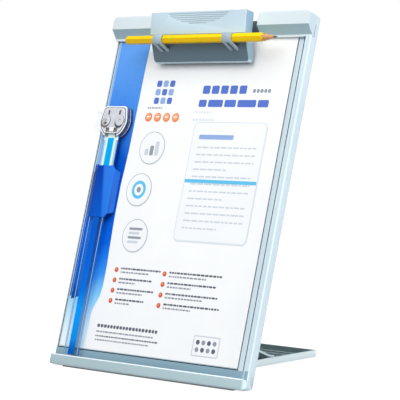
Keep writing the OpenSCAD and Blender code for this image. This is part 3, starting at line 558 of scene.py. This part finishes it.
class Print:
    """Thin flat shapes laid on a face, drawn in the board's frame or in that of a piece on it."""

    def __init__(self, level=CARD_W, place=None):
        self.bm = bmesh.new()
        self.mats = []
        self.level = level
        self.place = TO_ROW @ (place or Matrix.Identity(4))

    def slot(self, mat):
        if mat not in self.mats:
            self.mats.append(mat)
        return self.mats.index(mat)

    def face(self, points, mat, layer=1):
        w = self.level + 0.02 + 0.03 * layer
        verts = [self.bm.verts.new(self.place @ Vector((u, v, w))) for u, v in points]
        f = self.bm.faces.new(verts)
        f.material_index = self.slot(mat)
        return f

    def band(self, outer, inner, mat, layer=1):
        """A strip between two outlines with the same number of points."""
        for a, b, c, d in zip(outer, outer[1:], inner[1:], inner):
            self.face([a, b, c, d], mat, layer)

    def bar(self, u, v, length, height, mat, layer=1, r=None, steps=2):
        r = min(height, length) * 0.35 if r is None else r
        pts = []
        for cu, cv, a0 in ((u + length - r, v + height - r, 0), (u + r, v + height - r, 90),
                           (u + r, v + r, 180), (u + length - r, v + r, 270)):
            turns = [math.radians(a0 + 90 * i / steps) for i in range(steps + 1)]
            pts += [(cu + r * math.cos(a), cv + r * math.sin(a)) for a in turns]
        self.face(pts, mat, layer)

    def disc(self, u, v, r, mat, layer=1, n=48):
        turns = [2 * math.pi * i / n for i in range(n)]
        self.face([(u + r * math.cos(a), v + r * math.sin(a)) for a in turns], mat, layer)

    def row(self, rng, u, v, length, height, mat, words=(2.2, 6.5), gap=1.1, layer=1):
        """A row of bars of uneven length, as a line of print looks from afar."""
        end = u + length
        while u < end - 1:
            l = min(rng.uniform(*words), end - u)
            self.bar(u, v, l, height, mat, layer)
            u += l + gap

    def build(self, name, body="board"):
        mesh = bpy.data.meshes.new(name)
        self.bm.to_mesh(mesh)
        self.bm.free()
        for m in self.mats:
            mesh.materials.append(m)
        piece = bpy.data.objects.new(name, mesh)
        bpy.context.scene.collection.objects.link(piece)
        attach(piece, body)
        return piece


def graded_ink(name, low, high, stops, streaks=0.0):
    """Ink that changes up the card between two heights, with soft streaks where asked."""
    s = Shader(name)
    value, place = along_board(s, low, high)
    shift = s.node("ShaderNodeMath", operation="MULTIPLY_ADD")
    shift.inputs[1].default_value = streaks
    s.link(s.noise(14, 1, 0.3, stretch=(1.4, 0.5, 1)), shift.inputs[0])
    s.link(value, shift.inputs[2])
    s.link(shift.outputs["Value"], place.inputs["Value"])
    s.link(s.ramp(place.outputs["Result"], [(at, srgb(*colour)) for at, colour in stops]),
           s.bsdf.inputs["Base Color"])
    s.spread(s.noise(160, 3), 0.24, 0.34, "Roughness")
    s.bump(s.noise(260, 3), 0.05, 0.0002)
    s.bsdf.inputs["Specular IOR Level"].default_value = 0.15
    return s.mat


# The blue band: light at the top, deep in the middle with soft streaks, pale at the foot
BAND = [(0.0, (226, 248, 255)), (0.1, (224, 248, 255)), (0.145, (206, 236, 252)), (0.195, (138, 210, 252)),
        (0.245, (58, 150, 240)), (0.29, (32, 128, 236)), (0.34, (0, 100, 222)), (0.48, (0, 84, 204)),
        (0.62, (2, 86, 200)), (0.74, (64, 138, 232)), (1.0, (104, 166, 242))]

ink = {
    "band": graded_ink("band_ink", 0.04, 0.345, BAND, 0.06),
    "title": coated_card("title_ink", srgb(86, 118, 206)),
    "pale_blue": coated_card("pale_blue_ink", srgb(148, 176, 226)),
    "grey": coated_card("grey_ink", srgb(150, 156, 166)),
    "pale": coated_card("pale_ink", srgb(208, 214, 222)),
    "shade": coated_card("shade_ink", srgb(222, 227, 234)),
    "dark": coated_card("dark_ink", srgb(92, 98, 112)),
    "orange": coated_card("orange_ink", srgb(244, 138, 84)),
    "peach": coated_card("peach_ink", srgb(248, 176, 132)),
    "red": coated_card("red_ink", srgb(216, 82, 56)),
    "tint": coated_card("tint_ink", srgb(226, 232, 238)),
    "white": coated_card("ring_ink", srgb(248, 250, 252)),
    "cyan": coated_card("cyan_ink", srgb(96, 196, 236)),
    "light_band": coated_card("light_band_ink", srgb(132, 182, 236), specular=0.2),
    "deep_band": graded_ink("deep_band_ink", 0.063, 0.13, [
        (0.0, (0, 74, 158)), (0.2, (0, 92, 196)), (1.0, (0, 98, 218))]),
    "pale_band": graded_ink("pale_band_ink", 0.018, 0.063, [
        (0.0, (240, 250, 253)), (0.3, (232, 248, 253)), (1.0, (148, 216, 248))]),
}

rng = random.Random(7)
card = Print()
# The band's right edge, as (v, u) from the top down
band_right = [(PAGE_Y1, -72.6), (270, -73.6), (192, -73.9), (160, -75.5), (131, -75.3), (103, -74.0),
              (85, -72.9), (66, -72.9), (57, -74.2), (50, -77.5), (42, -80.5), (20, -81.2),
              (PAGE_Y0 + 0.4, -82.5)]
for (v1, r1), (v0, r0) in zip(band_right, band_right[1:]):
    card.face([(PAGE_X0 + 0.2, v0), (r0, v0), (r1, v1), (PAGE_X0 + 0.2, v1)], ink["band"], 1)

# Patches at the card's left edge, where the band changes by steps: pale, deep, then light
DEEP_Y0, DEEP_Y1, LIGHT_Y0, LIGHT_Y1 = 54.5, 118, 178, 204
patch_x = PAGE_X0 + 0.3
card.face([(patch_x, PAGE_Y0 + 0.5), (-103.4, PAGE_Y0 + 0.5), (-100.8, DEEP_Y0), (patch_x, DEEP_Y0 - 3)],
          ink["pale_band"], 2)
card.face([(patch_x, DEEP_Y0 - 3), (-100.8, DEEP_Y0), (-101.6, DEEP_Y1), (patch_x, DEEP_Y1)], ink["deep_band"], 2)
card.face([(patch_x, LIGHT_Y0), (-103.2, LIGHT_Y0), (-103.6, LIGHT_Y1), (patch_x, LIGHT_Y1)],
          ink["light_band"], 2)

for i in range(5):
    card.bar(2 + 10.6 * i, 245.5, 8.4, 7.6, ink["title"], r=1.2)
card.row(rng, 60, 246.5, 20, 3.4, ink["grey"], (3.0, 3.6), 1.0)
u = 0
for length in (9, 17, 13, 21, 12):
    card.bar(u, 233.5, length, 6.6, ink["title"], r=1.2)
    u += length + 2
for i in range(3):
    for j in range(3):
        card.bar(-55 + 8 * i, 236 + 8 * j, 6, 6, ink["pale_blue"] if (i + j) % 2 else ink["title"], r=1.4)
card.row(rng, -61, 231.5, 18, 1.5, ink["grey"], (1.6, 3), 0.7)
for u in (-57.6, -46.6, -35.6, -24.6):
    card.disc(u, 223.5, 4.3, ink["orange"])
    card.disc(u - 0.4, 224.2, 2.9, ink["peach"], 2)
    card.bar(u - 2.2, 223.4, 4.4, 1.0, ink["white"], 3)
card.row(rng, -4, 228, 22, 1.4, ink["tint"], (1.6, 3), 0.7)
card.row(rng, -4, 220.5, 26, 2.4, ink["tint"], (2.6, 3.4), 0.8)

for i, (u, v) in enumerate(((-46, 195), (-52, 156), (-46, 114))):
    card.disc(u + 0.5, v - 0.5, 15.4, ink["shade"], 1)
    card.disc(u, v, 15.1, ink["grey"], 2)
    card.disc(u, v, 14.6, ink["white"], 3)
    if i == 0:
        for j, height in enumerate((6, 9, 13)):
            card.bar(u - 8 + 6 * j, v - 7, 4.4, height, ink["grey"] if j == 1 else ink["pale"], 4, r=1)
    elif i == 1:
        card.disc(u, v, 8.4, ink["cyan"], 4)
        card.disc(u, v, 5.4, ink["white"], 5)
        card.disc(u, v, 2.6, ink["grey"], 6)
    else:
        for j in range(4):
            card.bar(u - 8, v + 5 - 4 * j, 16 - 3 * (j % 2), 2.2, ink["pale"] if j % 2 else ink["grey"], 4)

card.bar(0.6, 111.4, 84, 108, ink["shade"], 1, r=5, steps=8)
card.bar(0, 112, 84, 108, ink["tint"], 2, r=5, steps=8)
card.bar(1, 113, 82, 106, ink["white"], 3, r=4.4, steps=8)
card.bar(8, 204, 40, 4.2, ink["pale_blue"], 4, r=1)
for i in range(12):
    card.row(rng, 8, 196 - i * 6.6, 68 if i % 4 != 3 else 40, 1.4, ink["pale"], (3, 9), 1.1, 4)
card.bar(1, 164.6, 82, 3.2, ink["cyan"], 5, r=0.6)

for i, v in enumerate((82, 72.6, 63.2, 53.8)):
    for u in (-60, -1.5):
        card.disc(u, v, 2.3, ink["red"])
        card.disc(u - 0.4, v + 0.5, 1.3, ink["orange"], 2)
        length = (48, 40, 44, 36)[i] if u < -30 else (62, 56, 60, 64)[i]
        card.row(rng, u + 5.4, v + 0.7, length, 1.7, ink["dark"], (1.4, 4.6), 0.6)
        card.row(rng, u + 5.4, v - 2.6, length * (0.5 if i % 2 else 0.72), 1.5, ink["grey"], (1.4, 4.2), 0.6)
card.row(rng, -70, 29, 74, 3.0, ink["dark"], (2.8, 3.4), 0.8)
card.row(rng, -70, 24.5, 70, 1.4, ink["grey"], (1.6, 5), 0.6)
card.row(rng, -70, 20.5, 76, 1.4, ink["dark"], (1.2, 3.4), 0.6)
card.row(rng, -70, 17, 66, 1.4, ink["grey"], (1.2, 3.4), 0.6)
card.bar(46, 14, 30, 18, ink["pale"], 1, r=1.5)
card.bar(47, 15, 28, 16, ink["white"], 2, r=1)
for i in range(4):
    for j in range(2):
        card.disc(51.5 + 6.3 * i, 19.8 + 6.4 * j, 2.1, ink["dark"] if (i + j) % 2 else ink["grey"], 3, n=24)
card.build("card_print")

# The same print seen beside the card, on the panel's margin
MARGIN_X0, MARGIN_X1 = -112.6, -110.5
margin = Print(0.0)
for v0, v1, name in ((DEEP_Y0, DEEP_Y1, "deep_band"), (DEEP_Y1, LIGHT_Y0, "band"),
                     (LIGHT_Y0, PAGE_Y1 - 12, "light_band"), (PAGE_Y0 + 0.5, DEEP_Y0, "pale_band")):
    margin.face([(MARGIN_X0, v0), (MARGIN_X1, v0), (MARGIN_X1, v1), (MARGIN_X0, v1)], ink[name], 0)
margin.build("margin_print")


# Fine lines on the slider and the guide: painted highlights and painted shade along the edges, as clear plastic
# shows them

def ring(r0, r1, a0, a1, cx, cy, n=20):
    """Outer and inner points of a crescent about (cx, cy) that thins out at both ends."""
    outer, inner = [], []
    for i in range(n + 1):
        a = math.radians(a0 + (a1 - a0) * i / n)
        r = r0 + (r1 - r0) * math.sin(math.pi * i / n)
        outer.append((cx + r * math.cos(a), cy + r * math.sin(a)))
        inner.append((cx + r0 * math.cos(a), cy + r0 * math.sin(a)))
    return outer, inner


def cap_outline(inset):
    """The slider's outline, from its upper right corner round the bow to its foot, moved inwards."""
    half, top = 17.0, 14.25
    drop = (top + 0.45) / math.sin(math.radians(60))
    corner = [(half - 6 + 4 * math.cos(math.radians(a)), top - 4 + 4 * math.sin(math.radians(a)))
              for a in range(90, 29, -10)]
    bow = [(1 + (half - 1) * math.cos(math.radians(a)), 1.5 - drop * math.sin(math.radians(a)))
           for a in range(0, 61, 6)]
    kx, ky = 1 - inset / half, 1 - inset / top
    right_side = [(x * kx, y * ky) for x, y in [(0, top)] + corner + bow]
    return right_side + [(-x, y) for x, y in reversed(right_side)]


marks = Print(CAP_FRONT, Matrix.Translation(SLIDER))
# Painted shade just inside the slider's outline, with a painted highlight inside that
marks.band(cap_outline(1.5), cap_outline(2.2), SHADED["cap_shade"], 0)
marks.band(cap_outline(2.2), cap_outline(3.0), SHADED["cap_rim_highlight"], 0)
# Painted shadow crescents round the lower left of both discs, and a thin painted shade at the right of the right
# disc
for side, mat in ((1, "cap_shade"), (-1, "cap_recess_shade")):
    marks.band(*ring(5.3, 7.3, 160, 325, 8.6 * side, 0.6), SHADED[mat], 0)
marks.band(*ring(5.3, 5.8, -25, 25, 8.6, 0.6), SHADED["cap_shade"], 0)
# A grey patch on the left disc, and two painted shade spots below its middle
marks.disc(-11.2, 0.2, 2.4, SHADED["cap_grey_patch"], 29, n=32)
marks.disc(-8.2, -2.0, 1.3, SHADED["cap_shade"], 30, n=24)
marks.disc(-9.6, -2.6, 1.1, SHADED["cap_recess_shade"], 31, n=24)
# A small painted highlight over the notch
marks.bar(-2.8, -9.8, 5.6, 4.0, SHADED["cap_rim_highlight"], 1, r=0.5)
marks.build("slider_marks", "slider")

edges = Print(GUIDE_FRONT, GUIDE_PLACE)
# Painted dark lines along both edges of the guide, with a painted highlight between them
for side in (-1, 1):
    for a, b, mat in ((0.1, 0.5, "edge_shade_line"), (0.55, 1.35, "edge_highlight"), (1.8, 2.3, "edge_shade_line")):
        x0, x1 = sorted((side * (GUIDE_W / 2 - a), side * (GUIDE_W / 2 - b)))
        edges.face([(x0, -GUIDE_L), (x1, -GUIDE_L), (x1, -13), (x0, -13)], SHADED[mat], 0)
edges.build("guide_edges", "ruler")


# Surroundings

def floor_material():
    s = Shader("pale_floor")
    s.mottle(srgb(150, 152, 154), 0.01, 3)
    s.bsdf.inputs["Roughness"].default_value = 0.9
    path = s.node("ShaderNodeLightPath")
    seen = s.node("ShaderNodeMath", operation="ADD", use_clamp=True)
    s.link(path.outputs["Is Camera Ray"], seen.inputs[0])
    glossy = s.node("ShaderNodeMath", operation="ADD", use_clamp=True)
    s.link(path.outputs["Is Glossy Ray"], glossy.inputs[0])
    s.link(path.outputs["Is Transmission Ray"], glossy.inputs[1])
    s.link(glossy.outputs["Value"], seen.inputs[1])
    away = s.node("ShaderNodeVectorMath", operation="LENGTH")
    s.link(s.coords, away.inputs[0])
    glow = s.node("ShaderNodeMapRange", **{"From Min": 1.0, "From Max": 2.5, "To Min": 0.86, "To Max": 1.0})
    s.link(away.outputs["Value"], glow.inputs["Value"])
    scale = s.node("ShaderNodeMath", operation="MULTIPLY")
    s.link(seen.outputs["Value"], scale.inputs[0])
    s.link(glow.outputs["Result"], scale.inputs[1])
    s.bsdf.inputs["Emission Color"].default_value = (1, 1, 1, 1)
    s.link(scale.outputs["Value"], s.bsdf.inputs["Emission Strength"])
    return s.mat


bpy.ops.mesh.primitive_plane_add(size=24, location=(0, 0, 0))
floor = bpy.context.object
floor.name = "floor"
floor.data.materials.append(floor_material())

world = bpy.data.worlds.new("studio")
bpy.context.scene.world = world
world.use_nodes = True
tree = world.node_tree
back = tree.nodes["Background"]
back.inputs["Color"].default_value = (0.93, 0.97, 1.0, 1)
back.inputs["Strength"].default_value = 0.3
white = tree.nodes.new("ShaderNodeBackground")
white.inputs["Color"].default_value = (1, 1, 1, 1)
white.inputs["Strength"].default_value = 1.0
path = tree.nodes.new("ShaderNodeLightPath")
direct = tree.nodes.new("ShaderNodeMath")
direct.operation = "MAXIMUM"
tree.links.new(path.outputs["Is Camera Ray"], direct.inputs[0])
tree.links.new(path.outputs["Is Transmission Ray"], direct.inputs[1])
mix = tree.nodes.new("ShaderNodeMixShader")
tree.links.new(direct.outputs["Value"], mix.inputs[0])
tree.links.new(back.outputs[0], mix.inputs[1])
tree.links.new(white.outputs[0], mix.inputs[2])
tree.links.new(mix.outputs[0], tree.nodes["World Output"].inputs["Surface"])


def area(name, place, target, size, power, colour=(1, 1, 1)):
    data = bpy.data.lights.new(name, "AREA")
    data.shape = "DISK"
    data.size = size
    data.energy = power
    data.color = colour
    lamp = bpy.data.objects.new(name, data)
    bpy.context.scene.collection.objects.link(lamp)
    lamp.location = place
    lamp.rotation_euler = (Vector(target) - Vector(place)).to_track_quat("-Z", "Y").to_euler()
    return lamp


# Place, target, diameter and power of each lamp
area("key", (0.18, -1.05, 1.56), (0.0, 0.05, 0.2), 2.0, 35.5)
area("side", (1.4, 0.12, 0.36), (0.0, 0.03, 0.12), 0.8, 12.5)
area("back", (-0.3, 1.1, 1.0), (0.0, 0.0, 0.2), 0.9, 4.0, (0.97, 0.99, 1.0))


# Camera

CAMERA_PLACE = (1.07466, -1.13855, 0.24918)
LENS = 163.84
yaw, pitch, roll = math.radians(41.697), math.radians(3.488), math.radians(-0.078)
forward = Vector((-math.sin(yaw) * math.cos(pitch), math.cos(yaw) * math.cos(pitch), -math.sin(pitch)))
right = forward.cross(Vector((0, 0, 1))).normalized()
up = right.cross(forward)
across = right * math.cos(roll) + up * math.sin(roll)
upward = up * math.cos(roll) - right * math.sin(roll)
data = bpy.data.cameras.new("camera")
data.lens = LENS
data.sensor_width = 36
data.clip_end = 60
camera = bpy.data.objects.new("camera", data)
bpy.context.scene.collection.objects.link(camera)
camera.matrix_world = Matrix(
    [(across[i], upward[i], -forward[i], CAMERA_PLACE[i]) for i in range(3)] + [(0, 0, 0, 1)])
bpy.context.scene.camera = camera

bpy.context.scene.view_settings.view_transform = "Standard"
